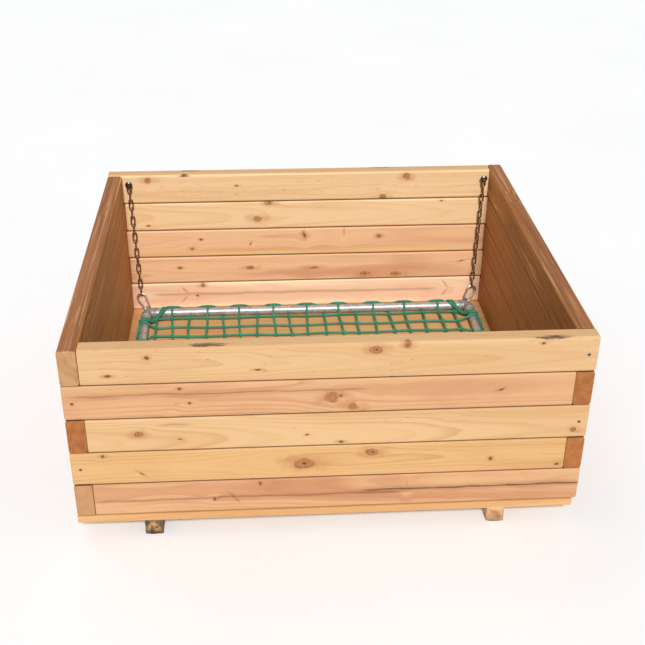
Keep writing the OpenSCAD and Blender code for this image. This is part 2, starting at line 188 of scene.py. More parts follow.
class Shader:
    """One material's nodes. Arguments are numbers, colours or the sockets that other calls return."""

    def __init__(self, name, roughness=0.6, metallic=0.0, specular=0.4):
        self.material = bpy.data.materials.new(name)
        self.material.use_nodes = True
        self.tree = self.material.node_tree
        self.surface = self.tree.nodes["Principled BSDF"]
        self.surface.inputs["Roughness"].default_value = roughness
        self.surface.inputs["Metallic"].default_value = metallic
        self.surface.inputs["Specular IOR Level"].default_value = specular

    def put(self, socket, value):
        if isinstance(value, bpy.types.NodeSocket):
            self.tree.links.new(value, socket)
        else:
            socket.default_value = value

    def node(self, kind, *values):
        """A new node with its first inputs filled."""
        node = self.tree.nodes.new("ShaderNode" + kind)
        for socket, value in zip(node.inputs, values):
            self.put(socket, value)
        return node

    def place(self):
        return self.tree.nodes.new("ShaderNodeTexCoord").outputs["Object"]

    def facing(self):
        return self.tree.nodes.new("ShaderNodeTexCoord").outputs["Normal"]

    def math(self, operation, *values):
        node = self.node("Math", *values)
        node.operation = operation
        return node.outputs[0]

    def times(self, a, b):
        return self.math("MULTIPLY", a, b)

    def minus(self, a, b):
        return self.math("SUBTRACT", a, b)

    def total(self, *values):
        result = values[0]
        for value in values[1:]:
            result = self.math("ADD", result, value)
        return result

    def split(self, vector):
        return list(self.node("SeparateXYZ", vector).outputs)

    def join(self, x, y, z):
        return self.node("CombineXYZ", x, y, z).outputs[0]

    def stretched(self, parts, scales, offset=0.0):
        """A place to sample noise at, with each coordinate scaled by its own amount."""
        x, y, z = (self.math("MULTIPLY", p, s) for p, s in zip(parts, scales))
        return self.join(self.math("ADD", x, offset), y, z)

    def noise(self, vector, detail=2.0, roughness=0.5, scale=1.0):
        node = self.node("TexNoise", vector)
        node.inputs["Scale"].default_value = scale
        node.inputs["Detail"].default_value = detail
        node.inputs["Roughness"].default_value = roughness
        return node.outputs[0]

    def local(self, vector, centre, half, tilt=0.0):
        """vector as seen from centre, in units of half, tilted by degrees from x towards z."""
        node = self.node("Mapping", vector, centre, (0, -math.radians(tilt), 0), half)
        node.vector_type = "TEXTURE"
        return node.outputs[0]

    def vector(self, operation, *values):
        node = self.node("VectorMath", *values)
        node.operation = operation
        return node.outputs["Value" if operation in ("LENGTH", "DOT_PRODUCT") else "Vector"]

    def cells(self, vector, scale):
        node = self.node("TexVoronoi", vector)
        node.inputs["Scale"].default_value = scale
        return node.outputs["Color"]

    def attribute(self, name):
        node = self.tree.nodes.new("ShaderNodeAttribute")
        node.attribute_name = name
        return node.outputs["Fac"]

    def ramp(self, value, low, high, out_low=0.0, out_high=1.0):
        """value from low to high becomes out_low to out_high, smoothly and clamped."""
        node = self.node("MapRange", value, low, high, out_low, out_high)
        node.interpolation_type = "SMOOTHSTEP"
        return node.outputs[0]

    def mix(self, share, a, b, way="MIX"):
        node = self.node("Mix", share)
        node.data_type = "RGBA"
        node.blend_type = way
        self.put(node.inputs[6], a)
        self.put(node.inputs[7], b)
        return node.outputs[2]

    def tint(self, colour, value, low, high, most, other):
        """colour, with up to most of other mixed in as value goes from low to high."""
        return self.mix(self.ramp(value, low, high, 0.0, most), colour, other)

    def curve(self, value, stops):
        """value from 0 to 1, put through (position, height) stops."""
        node = self.tree.nodes.new("ShaderNodeValToRGB")
        ramp = node.color_ramp
        while len(ramp.elements) < len(stops):
            ramp.elements.new(0.5)
        for element, (position, height) in zip(ramp.elements, stops):
            element.position = position
            element.color = (height, height, height, 1)
        self.put(node.inputs[0], value)
        return node.outputs[0]

    def bump(self, height, distance, strength=1.0):
        node = self.tree.nodes.new("ShaderNodeBump")
        node.inputs["Strength"].default_value = strength
        node.inputs["Distance"].default_value = distance
        self.put(node.inputs["Height"], height)
        self.tree.links.new(node.outputs[0], self.surface.inputs["Normal"])

    def finish(self, colour, roughness=None):
        self.put(self.surface.inputs["Base Color"], colour)
        if roughness is not None:
            self.put(self.surface.inputs["Roughness"], roughness)
        return self.material


# ---------------------------------------------------------------- wood

# Early wood, late wood, and the colour of the streaks in between
TONES = {
    "straw": ("#dfb686", "#c08b59", "#cfa06d"),
    "pink": ("#dba97c", "#b47650", "#bd7d59"),
    "golden": ("#dcae77", "#b9834c", "#c9955f"),
    "brown": ("#a86e42", "#6f4325", "#87532d"),
    # A pink painted lighter, for the lowest back plank: painted light, making up for the light that falls
    # off towards the bottom of the back wall
    "blush": ("#efc7a0", "#cb926c", "#d69f79"),
    "floor": ("#dcae78", "#bb8550", "#cb9864"),
    "tan": ("#ad7f55", "#855a37", "#8d623d"),
    "grey": ("#8a6d4e", "#54422f", "#4a4330"),
}
# Early and late wood of a sawn end
END_GRAIN = {
    "tan": ("#c2966a", "#97693f"),
    "orange": ("#b2713c", "#83481c"),
    "dull": ("#bd9166", "#ad7e54"),
}
KNOT_PALE = linear("#c08a5a")
KNOT_CORE = linear("#935029")
KNOT_HEART = linear("#652e16")
KNOT_RIM = linear("#8c4322")
KNOT_HALO = linear("#b27c4e")
KNOT_STREAK = linear("#a9663f")
KNOT_RING = 0.0046
KNOT_DEPTH = 0.02
HEART_R = 0.0036
BARK = linear("#3d2d21")
CRACK = linear("#743c24")
# Painted shade of the gaps between planks, with dirt in it, drawn as a dark line along seams and butt
# ends
GAP_SHADE_AND_DIRT = linear("#3d2413")
PALE_STREAK = linear("#d3a27c")
DARK_STREAK = linear("#62351d")
STAIN = linear("#3b3324")
SEAM_H = 0.0022
BUTT_W = 0.0018
RING_W = 0.0055
CHATTER_PITCH = 0.007
GRAIN_DEPTH = 0.0004


def add_knot(s, spot, wander, patchy, colour, relief, knot, face):
    """One knot a little way into the plank from one face: rings round a dark heart, a rim that
    comes and goes, and a halo drawn out along the grain. A long thin one is a soft streak."""
    along, height, half_u, half_w, tilt = knot
    local = s.local(spot, (along, face, height), (half_u, KNOT_DEPTH, half_w), tilt)
    away = s.total(s.vector("LENGTH", local), wander)
    if half_u > 4 * half_w or half_w > 3 * half_u:
        streak = s.ramp(away, 0.0, 1.35, 0.62, 0.0)
        return s.mix(streak, colour, KNOT_STREAK), relief
    rings = s.math("SINE", s.times(away, 2 * math.pi * max(half_u, half_w) / KNOT_RING))
    core = s.mix(s.math("MULTIPLY_ADD", rings, 0.5, 0.5), KNOT_CORE, KNOT_PALE)
    heart = min(0.9, HEART_R / min(half_u, half_w))
    core = s.mix(s.ramp(away, heart * 0.3, heart, 0.9, 0.0), core, KNOT_HEART)
    core = s.mix(s.times(s.ramp(away, 0.45, 0.85), patchy), core, KNOT_RIM)
    halo = s.total(s.vector("LENGTH", s.vector("MULTIPLY", local, (0.37, 1, 0.63))), wander)
    colour = s.mix(s.ramp(halo, 0.3, 1.3, 0.5, 0.0), colour, KNOT_HALO)
    inside = s.ramp(away, 0.78, 1.15, 0.92, 0.0)
    return s.mix(inside, colour, core), s.math("MULTIPLY_ADD", inside, 0.5, relief)


def knot_pull(s, spot, w, knots):
    """How far the grain is pushed aside by the knots, so that it flows round them."""
    moved = w
    for along, height, half_u, half_w, _ in knots:
        local = s.local(spot, (along, 0, height), (3.2 * half_u + 0.01, 9, 2.2 * half_w + 0.006))
        near = s.math("POWER", math.exp(-1), s.vector("DOT_PRODUCT", local, local))
        off = s.minus(w, height)
        moved = s.math("MULTIPLY_ADD", s.times(off, near), -0.85, moved)
    return moved


def add_crack(s, u, w, colour, relief, crack):
    """A thin dark line that wanders along the grain between two places, open where it is strong."""
    start, end, height, half_w, strength = crack
    wander = s.noise(s.join(s.times(u, 7), height * 90, 0), 3)
    centre = s.total(s.times(s.minus(wander, 0.5), 0.016), height)
    off = s.math("ABSOLUTE", s.minus(w, centre))
    thin = s.noise(s.join(s.times(u, 30), height * 40, 5), 2)
    line = s.ramp(off, 0.0, s.times(thin, half_w * 2), 1.0, 0.0)
    stretch = s.times(s.ramp(u, start, start + 0.05), s.ramp(u, end - 0.05, end, strength, 0.0))
    line = s.times(line, stretch)
    glow = s.times(s.ramp(off, 0.0, 0.006 + half_w * 3, 0.42, 0.0), stretch)
    colour = s.mix(glow, colour, CRACK)
    return s.mix(line, colour, KNOT_HEART), s.minus(relief, line)


def add_bark(s, place, colour, mark):
    """A ragged dark patch of bark left near an edge, at (along, across, up) with its half sizes."""
    centre, half = mark
    parts = s.split(place)
    far = 0.0
    for part, c, h in zip(parts, centre, half):
        off = s.times(s.minus(part, c), 1 / h)
        far = s.total(s.times(off, off), far)
    ragged = s.noise(s.stretched(parts, (34, 420, 190)), 5, 0.75)
    edge = s.math("MULTIPLY_ADD", ragged, 2.2, s.ramp(far, 0.0, 1.0, -0.35, -0.95))
    return s.tint(colour, edge, 0.4, 0.75, 0.85, BARK)


def ring_bands(s, u, v, w, pith, taper, seed):
    """How far a place lies from the log's heart, and its late wood 0..1."""
    slow = s.minus(s.noise(s.stretched((u, v, w), (0.9, 2, 2), seed), 2), 0.5)
    sway = s.minus(s.noise(s.stretched((u, v, w), (1.3, 3, 3), seed + 9.3), 2), 0.5)
    lean = s.times(u, taper)
    across = s.total(s.minus(v, pith[0]), lean, s.times(slow, 0.05))
    up = s.total(s.minus(w, pith[1]), s.times(sway, 0.04))
    radius = s.math("SQRT", s.total(s.times(across, across), s.times(up, up)))
    ripple = s.noise(s.stretched((u, v, w), (5, 60, 60), seed), 3)
    turns = s.total(s.times(radius, 1 / RING_W), s.times(ripple, 0.6))
    late = s.curve(s.math("FRACT", turns), [(0, 0.1), (0.45, 0.12), (0.84, 0.85), (0.93, 1), (1, 0.1)])
    return radius, late


def wood(name, grain, tone, end="tan", pith=(0.0, 0.0), taper=0.02, seed=0.0, lower=None, knots=(),
         far_knots=(), faces=(0.0, 0.0), cracks=(), bark=(), seams=(), butt=None, streaks=0.0, wear=0.0,
         painted_light=(1, 1, 1)):
    """Sawn softwood. grain is the axis it runs along, pith where the log's heart lies across and
    up at its middle, and taper how fast the heart nears the surface. lower is a (tone, height) for
    a band along the bottom. knots show on the first of its faces and far_knots on the second.
    seams are heights where another plank lies against it, and butt is where its end meets one. A dark
    line is painted at each: painted shade of the gap between the planks, with dirt in it.
    The colour triple for its upright sides is painted light: it lightens or darkens them, but not the top
    or the sawn ends, to stand in for the light that each wall gets."""
    s = Shader(name, specular=0.3)
    place = s.place()
    x, y, z = s.split(place)
    u, v = (x, y) if grain == "x" else (y, x)

    def grained(across, scales, offset, detail, roughness=0.5):
        """Noise drawn out along the grain, across being the third coordinate."""
        return s.noise(s.stretched((u, v, across), scales, seed + offset), detail, roughness)

    spot = s.join(u, v, z)
    bent = s.noise(spot, 1, 0.5, 42)
    rough = s.noise(spot, 2, 0.5, 110)
    wander = s.math("MULTIPLY_ADD", bent, 1.1, s.math("MULTIPLY_ADD", rough, 0.25, -0.67))
    patchy = s.ramp(rough, 0.46, 0.6, 0.0, 0.85)
    w = knot_pull(s, spot, z, [*knots, *far_knots])
    radius, late = ring_bands(s, u, v, w, pith, taper, seed)
    vary = grained(radius, (1.2, 2, 70), 4, 2)
    late = s.times(late, s.ramp(vary, 0.35, 0.7, 0.15, 1.0))
    fibre = grained(w, (22, 1500, 1500), 0, 3, 0.6)
    early_c, late_c, streak_c = (linear(c) for c in TONES[tone])
    if lower:
        low_tone, edge = lower
        drift = grained(w, (3, 20, 20), 1, 2)
        share = s.ramp(s.minus(z, s.times(drift, 0.012)), edge - 0.012, edge)
        low_early, low_late, low_streak = (linear(c) for c in TONES[low_tone])
        early_c = s.mix(share, low_early, early_c)
        late_c = s.mix(share, low_late, late_c)
        streak_c = s.mix(share, low_streak, streak_c)
    colour = s.mix(s.times(late, 0.6), early_c, late_c)
    bands = grained(radius, (0.5, 6, 42), 2, 3, 0.6)
    colour = s.tint(colour, bands, 0.45, 0.68, 0.7, streak_c)
    cloud = grained(w, (3.5, 9, 9), 6, 3)
    colour = s.tint(colour, cloud, 0.5, 0.75, 0.4, streak_c)
    colour = s.tint(colour, fibre, 0.5, 0.75, 0.3, late_c)
    if streaks:
        pale = grained(w, (2.2, 150, 150), 8, 3, 0.6)
        colour = s.tint(colour, pale, 0.5, 0.72, streaks, PALE_STREAK)
        colour = s.mix(s.ramp(pale, 0.26, 0.44, streaks, 0.0), colour, DARK_STREAK)
    relief = s.total(s.times(fibre, 0.5), s.times(late, 0.35))
    chatter = s.math("SINE", s.times(u, 2 * math.pi / CHATTER_PITCH))
    relief = s.total(relief, s.times(chatter, 0.02))
    flecks = grained(w, (45, 190, 190), 7, 2)
    colour = s.tint(colour, flecks, 0.745, 0.78, 0.7, KNOT_CORE)
    for face, marks in zip(faces, (knots, far_knots)):
        for knot in marks:
            colour, relief = add_knot(s, spot, wander, patchy, colour, relief, knot, face)
    for crack in cracks:
        colour, relief = add_crack(s, u, z, colour, relief, crack)
    # The sawn ends: rings about the pith, darker and rougher than the faces
    facing = s.split(s.facing())[0 if grain == "x" else 1]
    sawn = s.ramp(s.math("ABSOLUTE", facing), 0.75, 0.9)
    end_early, end_late = (linear(c) for c in END_GRAIN[end])
    pores = grained(z, (300, 900, 900), 0, 2, 0.7)
    blotch = grained(z, (30, 45, 45), 3, 3)
    end_colour = s.mix(s.times(late, 0.95), end_early, end_late)
    end_colour = s.tint(end_colour, blotch, 0.4, 0.7, 0.5, end_late)
    end_colour = s.tint(end_colour, pores, 0.45, 0.7, 0.35, end_late)
    colour = s.mix(sawn, colour, end_colour)
    for mark in bark:
        colour = add_bark(s, place, colour, mark)
    # A dark line along each seam and at the butt end: painted shade of the gap between the planks, with
    # dirt in it
    for value, lines, reach in ((z, seams, SEAM_H), (u, [] if butt is None else [butt], BUTT_W)):
        for line in lines:
            off = s.math("ABSOLUTE", s.minus(value, line))
            colour = s.mix(s.ramp(off, reach * 0.3, reach, 0.8, 0.0), colour, GAP_SHADE_AND_DIRT)
    relief = s.total(relief, s.times(s.times(pores, sawn), 0.8))
    if wear:
        stain = grained(z, (40, 60, 60), 5, 5, 0.65)
        colour = s.tint(colour, stain, 0.4, 0.62, wear, STAIN)
    # Painted light: the upright sides, not the top or the sawn ends, are made lighter or darker per wall
    # to stand in for the light that each wall gets
    upright = s.ramp(s.math("ABSOLUTE", s.split(s.facing())[2]), 0.6, 0.95, 1.0, 0.0)
    upright = s.times(upright, s.minus(1.0, sawn))
    colour = s.mix(upright, colour, (*painted_light, 1), "MULTIPLY")
    s.bump(relief, GRAIN_DEPTH)
    return s.finish(colour, s.ramp(fibre, 0.3, 0.8, 0.5, 0.72))


# Each plank's tone, sawn end and marks. A knot is (along, height, half length, half height,
# tilt), a crack (start, end, height, half width, strength) and a bark mark (middle, half size),
# with lengths in millimetres and heights over the ground. heart is how far in metres the log's
# heart lies inward of the plank's middle and above it, and lower is a tone and its upper edge.
PLANKS = {
    "front_plank_1": dict(
        tone="straw",
        knots=[(101, 523, 15, 11, 0), (174, 533, 9, 9, 0), (-422, 517, 6, 5, 0),
               (-514, 471, 8, 4, 0), (-172, 477, 8, 3, 0), (491, 527, 5, 4, 0)],
        bark=[((-285, -537, 540), (60, 14, 14)), ((515, -544, 540), (62, 10, 12)),
              ((140, -550, 446), (12, 10, 6))]),
    "front_plank_2": dict(
        tone="pink",
        knots=[(0, 395, 19, 15, 10), (22, 399, 6, 6, 0), (53, 367, 14, 10, -20),
               (-353, 431, 5, 4, 0), (-332, 391, 5, 4, 0), (403, 403, 8, 3, 20)],
        cracks=[(-620, 100, 416, 2.8, 0.45)]),
    "front_plank_3": dict(
        tone="straw",
        knots=[(-457, 306, 11, 9, 0), (592, 279, 10, 8, 0), (-58, 290, 5, 3, 0),
               (25, 266, 7, 4, 0), (-360, 289, 5, 2, 0)],
        cracks=[(-430, -310, 330, 1, 0.5)]),
    "front_plank_4": dict(
        tone="golden",
        knots=[(-67, 205, 26, 16, -8), (102, 232, 16, 11, 0), (-547, 245, 5, 5, 0),
               (-458, 190, 8, 3, -40), (394, 201, 5, 6, 0), (562, 177, 5, 4, 0)]),
    "front_plank_5": dict(
        tone="pink",
        knots=[(-240, 112, 24, 5.5, -52), (-173, 148, 4, 7, 10), (190, 134, 1.4, 18, 6),
               (-286, 104, 3, 5, 0)],
        cracks=[(-600, 200, 108, 1.2, 0.75), (60, 660, 116, 3.6, 0.85)]),
    "back_plank_1": dict(
        tone="straw",
        knots=[(-502, 523, 12, 10, 0), (315, 522, 12, 11, 0), (240, 452, 14, 10, 0),
               (-224, 501, 6, 4, 0), (-392, 536, 9, 3, 0)],
        bark=[((-370, 546, 540), (50, 16, 12)), ((234, 546, 540), (55, 14, 12)),
              ((-386, 508, 538), (16, 10, 8))]),
    "back_plank_2": dict(
        tone="straw",
        knots=[(-163, 386, 15, 12, 0), (-124, 441, 13, 8, 0), (431, 437, 5, 4, 0),
               (-510, 369, 6, 3, 0)]),
    "back_plank_3": dict(
        tone="pink", lower=("golden", 0.276),
        knots=[(-376, 284, 7, 6, 0), (-346, 317, 5, 4, 0), (-186, 298, 6, 3, 60),
               (-12, 327, 5, 14, 20), (118, 336, 4, 16, 0), (232, 316, 9, 7, 0)]),
    "back_plank_4": dict(
        tone="pink",
        knots=[(-419, 216, 8, 5, 0), (-190, 211, 13, 7, 0), (19, 206, 18, 6, 0),
               (189, 180, 18, 9, 0), (297, 176, 22, 8, 0), (512, 220, 11, 3, 10)]),
    "back_plank_5": dict(
        # Its tone is painted lighter: painted light for the dimmer bottom of the back wall
        tone="blush",
        knots=[(-407, 133, 17, 4, -50), (-408, 102, 17, 4, 50), (-348, 150, 8, 8, 0),
               (461, 136, 18, 4.3, -52), (462, 103, 17, 4, 55), (-367, 112, 6, 4, 0)],
        cracks=[(-530, 450, 118, 1.2, 0.6)]),
    "left_plank_1": dict(tone="brown", lower=("tan", 0.47), heart=(0.07, 0.06), streaks=0.75),
    "left_plank_2": dict(tone="brown", end="orange"),
    "left_plank_3": dict(tone="brown", end="orange", heart=(0.03, 0.0)),
    "left_plank_4": dict(tone="brown", end="orange"),
    "left_plank_5": dict(tone="brown", end="dull", heart=(0.09, 0.0)),
    "right_plank_1": dict(tone="brown", knots=[(280, 530, 10, 10, 0)], streaks=0.75),
    "right_plank_2": dict(tone="brown", end="orange", heart=(0.01, -0.055)),
    "right_plank_3": dict(tone="brown", end="orange"),
    "right_plank_4": dict(tone="brown", end="orange", heart=(-0.008, -0.02)),
    "right_plank_5": dict(tone="brown", end="dull"),
}
PITH_DEPTH = 0.062
# Painted light: per wall, how much lighter or darker the upright sides are painted, to stand in for the
# light that each wall gets
WALL_PAINTED_LIGHT = {"front": (0.92, 0.94, 0.94), "back": (1.3, 1.44, 1.62),
              "left": (1.6, 1.68, 1.32), "right": (1.4, 1.38, 0.95)}
END_EASE = 0.0035
RIM_BAND = 0.003
SHARP_ABOVE = math.radians(35)


def paint(node, material):
    """Gives a CAD node one new material."""
    slots = frame["nodes"][node].data.materials
    slots.clear()
    slots.append(material)


def ease_ends(node, axis, material):
    """Replaces a CAD plank by a copy whose cut ends have eased edges. Every hole stays."""
    low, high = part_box(node)
    shape = bmesh.new()
    shape.from_mesh(frame["nodes"][node].data)
    bmesh.ops.remove_doubles(shape, verts=shape.verts, dist=1e-6)
    bmesh.ops.dissolve_limit(shape, angle_limit=math.radians(0.5), verts=shape.verts, edges=shape.edges)

    def at_rim(place):
        at_end = min(place[axis] - low[axis], high[axis] - place[axis]) < 1e-5
        inset = min(min(place[k] - low[k], high[k] - place[k]) for k in (1 - axis, 2))
        return at_end and inset < RIM_BAND

    rims = [edge for edge in shape.edges
            if all(at_rim(corner.co) for corner in edge.verts) and edge.calc_face_angle(0) > 0.5]
    bmesh.ops.bevel(shape, geom=rims, offset=END_EASE, segments=3, profile=0.5, affect="EDGES")
    shape.verts.index_update()
    points = [corner.co for corner in shape.verts]
    faces = [[corner.index for corner in face.verts] for face in shape.faces]
    piece = add_piece(node + "_eased", points, faces, material, "root", [node])
    piece.data.set_sharp_from_angle(angle=SHARP_ABOVE)
    piece.modifiers.new("flat faces", "WEIGHTED_NORMAL").keep_sharp = True
    shape.free()


def scattered_knots(draws, reach, height):
    """Knots for a face that has none of its own."""
    knots = []
    for _ in range(2):
        size = draws.choice((0.004, 0.006, 0.011))
        knots.append((draws.uniform(-0.8, 0.8) * reach, height + draws.uniform(-0.035, 0.035),
                      size * 1.3, size, draws.uniform(-15, 15)))
    return knots


def in_metres(marks, lengths):
    """Marks with their first few numbers, which are millimetres, turned into metres."""
    return [(*(number / 1000 for number in mark[:lengths]), *mark[lengths:]) for mark in marks]


def paint_planks():
    """Every plank's own wood, with painted shade and dirt at the seams to its neighbours and painted
    light on its upright sides, on a copy with eased ends.
    """
    for number, (node, look) in enumerate(PLANKS.items()):
        low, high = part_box(node)
        middle = (low + high) / 2
        along_x = node.startswith(("front", "back"))
        mid_v, faces = (middle.y, (low.y, high.y)) if along_x else (middle.x, (low.x, high.x))
        ends = (low.x, high.x) if along_x else (low.y, high.y)
        inward = -1 if mid_v > 0 else 1
        if node.startswith("left"):
            faces = faces[::-1]  # so that the first face is always the one the camera sees
        usual_heart = (PITH_DEPTH * (1 if number % 3 else -1), 0.02 * math.sin(number * 2.1))
        depth, rise = look.get("heart", usual_heart)
        seams = [low.z] if node.endswith("1") else [low.z, high.z]
        short = min(abs(ends[0]), abs(ends[1]))
        butt = next(end for end in ends if abs(end) == short)
        draws = random.Random(number)
        near_knots = scattered_knots(draws, short, middle.z)
        far_knots = scattered_knots(draws, short, middle.z)
        if "knots" in look:
            near_knots = in_metres(look["knots"], 4)
        plain = {key: look[key] for key in ("tone", "end", "lower", "streaks") if key in look}
        material = wood(node, "x" if along_x else "y", pith=(mid_v + inward * depth, middle.z + rise),
                        taper=0.02 * math.sin(number * 1.7 + 1), seed=number * 3.7, faces=faces,
                        knots=near_knots, far_knots=far_knots, seams=seams, butt=butt,
                        cracks=in_metres(look.get("cracks", ()), 4),
                        bark=[in_metres(mark, 3) for mark in look.get("bark", ())],
                        painted_light=WALL_PAINTED_LIGHT[node.split("_")[0]], **plain)
        ease_ends(node, 0 if along_x else 1, material)


def paint_hidden_wood():
    low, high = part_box("floor_panel")
    panel = wood("floor_panel", "x", "floor", seed=71, pith=((low.y + high.y) / 2, low.z - 0.4))
    paint("floor_panel", panel)
    paint("course_dowels", wood("dowels", "y", "straw", seed=33))


# ---------------------------------------------------------------- metal and cord materials

def metal(name, light, dark, roughness, grain=240.0, stain=None, relief=0.00005, metallic=1.0):
    """Zinc or steel with a mottled surface, and stains in noise patches where stain is a colour."""
    s = Shader(name, metallic=metallic, specular=0.5)
    place = s.place()
    spangle = s.split(s.cells(place, grain))[0]
    cloud = s.noise(place, 4, 0.6, 38)
    speck = s.noise(place, 3, 0.7, 900)
    share = s.total(s.times(spangle, 0.35), s.times(cloud, 0.75))
    colour = s.mix(s.ramp(share, 0.25, 0.85), linear(dark), linear(light))
    if stain:
        colour = s.mix(s.ramp(s.noise(place, 5, 0.7, 120), 0.5, 0.68, 0.0, 0.75), colour, linear(stain))
    s.bump(s.total(s.times(speck, 0.7), s.times(cloud, 0.5)), relief)
    rough = s.total(s.times(spangle, 0.08), s.times(speck, 0.14))
    return s.finish(colour, s.total(rough, roughness - 0.1))


def cord_material():
    """Braided polypropylene: bright strands, painted shade in the hollows between them, fine filaments.
    """
    s = Shader("net_cord", specular=0.35)
    place = s.place()
    hollow = s.attribute("hollow")
    filament = s.noise(place, 3, 0.7, 1500)
    faded = s.noise(place, 3, 0.5, 14)
    colour = s.mix(s.ramp(faded, 0.35, 0.7), linear("#128a66"), linear("#2fa583"))
    colour = s.tint(colour, filament, 0.4, 0.75, 0.45, linear("#7fc9ae"))
    # Painted shade: the braid's hollows are darkened where shade falls between the strands
    colour = s.mix(s.times(hollow, 0.75), colour, linear("#04382b"))
    s.bump(filament, 0.0002, 0.8)
    return s.finish(colour, s.ramp(filament, 0.3, 0.8, 0.42, 0.65))


# ---------------------------------------------------------------- mesh helpers

def add_piece(name, points, faces, material, body, replaced, hollow=None):
    """A smooth mesh that rides on a body in place of CAD nodes. hollow is one value per point."""
    mesh = bpy.data.meshes.new(name)
    mesh.from_pydata([tuple(p) for p in points], [], faces)
    mesh.validate()
    mesh.polygons.foreach_set("use_smooth", [True] * len(mesh.polygons))
    if hollow is not None:
        layer = mesh.attributes.new("hollow", "FLOAT", "POINT")
        layer.data.foreach_set("value", np.asarray(hollow, np.float32))
    mesh.materials.append(material)
    piece = bpy.data.objects.new(name, mesh)
    bpy.context.scene.collection.objects.link(piece)
    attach(piece, body)
    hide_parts(*replaced)
    return piece


class Parts:
    """Collects the points and faces of many bodies that become one piece."""

    def __init__(self):
        self.points, self.faces, self.hollow = [], [], []
        self.count = 0

    def add(self, points, faces, hollow):
        self.points.append(points)
        self.faces += [tuple(i + self.count for i in face) for face in faces]
        self.hollow.append(hollow)
        self.count += len(points)

    def piece(self, name, material, body, slot, replaced):
        add_piece(name, np.concatenate(self.points), self.faces, material, body, replaced,
                  hollow=np.concatenate(self.hollow))


def smooth_route(points, step):
    """Points a step apart along a smooth curve through the given ones."""
    p = np.array(points, float)
    p = np.vstack([2 * p[0] - p[1], p, 2 * p[-1] - p[-2]])
    dense = []
    for i in range(1, len(p) - 2):
        a, b, c, d = p[i - 1:i + 3]
        for t in np.linspace(0, 1, 12, endpoint=False):
            dense.append(0.5 * (2 * b + (c - a) * t + (2 * a - 5 * b + 4 * c - d) * t ** 2
                                + (3 * b - a - 3 * c + d) * t ** 3))
    dense = np.array(dense + [p[-2]])
    gone = np.concatenate([[0], np.cumsum(np.linalg.norm(np.diff(dense, axis=0), axis=1))])
    at = np.linspace(0, gone[-1], max(3, int(gone[-1] / step)))
    return np.column_stack([np.interp(at, gone, dense[:, k]) for k in range(3)])


def ring_faces(rings, sides, closed):
    """Faces between rings of points. The ends are capped, or joined up where closed."""
    faces = []
    last = rings if closed else rings - 1
    for i in range(last):
        j = (i + 1) % rings
        for k in range(sides):
            n = (k + 1) % sides
            faces.append((i * sides + k, i * sides + n, j * sides + n, j * sides + k))
    if not closed:
        faces.append(tuple(range(sides))[::-1])
        faces.append(tuple((rings - 1) * sides + k for k in range(sides)))
    return faces


def directions(route, closed):
    """Unit direction of travel at each point of a route."""
    ahead = np.roll(route, -1, 0) - np.roll(route, 1, 0) if closed else np.gradient(route, axis=0)
    return ahead / np.linalg.norm(ahead, axis=1)[:, None]


def carried_up(ahead, up=(0, 0, 1)):
    """An up direction for each point, carried from the route's middle both ways without twist."""
    ups = np.zeros_like(ahead)
    middle = len(ahead) // 2
    for way, stop in ((1, len(ahead)), (-1, -1)):
        now = np.array(up, float)
        for i in range(middle, stop, way):
            now = now - ahead[i] * np.dot(now, ahead[i])
            now /= np.linalg.norm(now)
            ups[i] = now
    return ups


def sweep(route, radius, sides, up=None, closed=False, flat=None, braid=0.0, phase=0.0):
    """Points, faces and hollows of a tube along route. radius may be one per point, and so may
    flat, which squeezes the tube along its up and widens it. up is one direction for the whole
    tube, or is carried along it. braid is the strands' depth as a share of the radius."""
    count = len(route)
    ahead = directions(route, closed)
    ups = carried_up(ahead) if up is None else np.broadcast_to(np.array(up, float), (count, 3))
    side = np.cross(ahead, ups)
    side /= np.linalg.norm(side, axis=1)[:, None]
    ups = np.cross(side, ahead)
    squeeze = np.broadcast_to(1.0 if flat is None else flat, count)[:, None]
    gone = np.concatenate([[0], np.cumsum(np.linalg.norm(np.diff(route, axis=0), axis=1))])
    angle = np.arange(sides) * 2 * math.pi / sides
    strand = BRAID_STRANDS * angle[None] / (2 * math.pi)
    run = gone[:, None] / BRAID_PITCH + phase
    bulge = np.sqrt(np.abs(np.sin(math.pi * (strand + run)) * np.sin(math.pi * (strand - run))))
    r = np.broadcast_to(radius, count)[:, None] * (1 + braid * (bulge - 0.6))
    wide = side[:, None] * (r * np.cos(angle) / np.sqrt(squeeze))[..., None]
    tall = ups[:, None] * (r * np.sin(angle) * squeeze)[..., None]
    points = (route[:, None] + wide + tall).reshape(-1, 3)
    hollow = (1 - bulge).reshape(-1) if braid else np.zeros(count * sides)
    return points, ring_faces(count, sides, closed), hollow


# ---------------------------------------------------------------- net

def centre_of(node):
    low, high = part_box(node)
    return (low + high) / 2


PIPE_X = centre_of("right_pipe").x
PIPE_BACK = centre_of("back_pipe").y
PIPE_FRONT = centre_of("front_pipe").y
PIPE_Z = centre_of("back_pipe").z
PIPE_R = (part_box("back_pipe")[1].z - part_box("back_pipe")[0].z) / 2
NET_MIDDLE = (PIPE_BACK + PIPE_FRONT) / 2
WRAP_R = PIPE_R + CORD_R + CORD_GAP
BORDER_WRAP_R = PIPE_R + BORDER_R + BORDER_GAP
HALF_DEPTH = (PIPE_BACK - PIPE_FRONT) / 2
ROW_NUMBERS = [k - ROWS_PER_SIDE + 0.5 for k in range(2 * ROWS_PER_SIDE)]
COLUMN_NUMBERS = range(-COLUMNS_PER_SIDE, COLUMNS_PER_SIDE + 1)


def net_height(x, y):
    """Height of the slack net over the floor at a place inside its frame."""
    sag = NET_SAG * (1 - (x / PIPE_X) ** 2) * (1 - ((y - NET_MIDDLE) / HALF_DEPTH) ** 2)
    return PIPE_Z - NET_DROP - sag


def passes_over(index):
    """Every second cord goes over the pipe, the others under it."""
    return index % 2 == 0


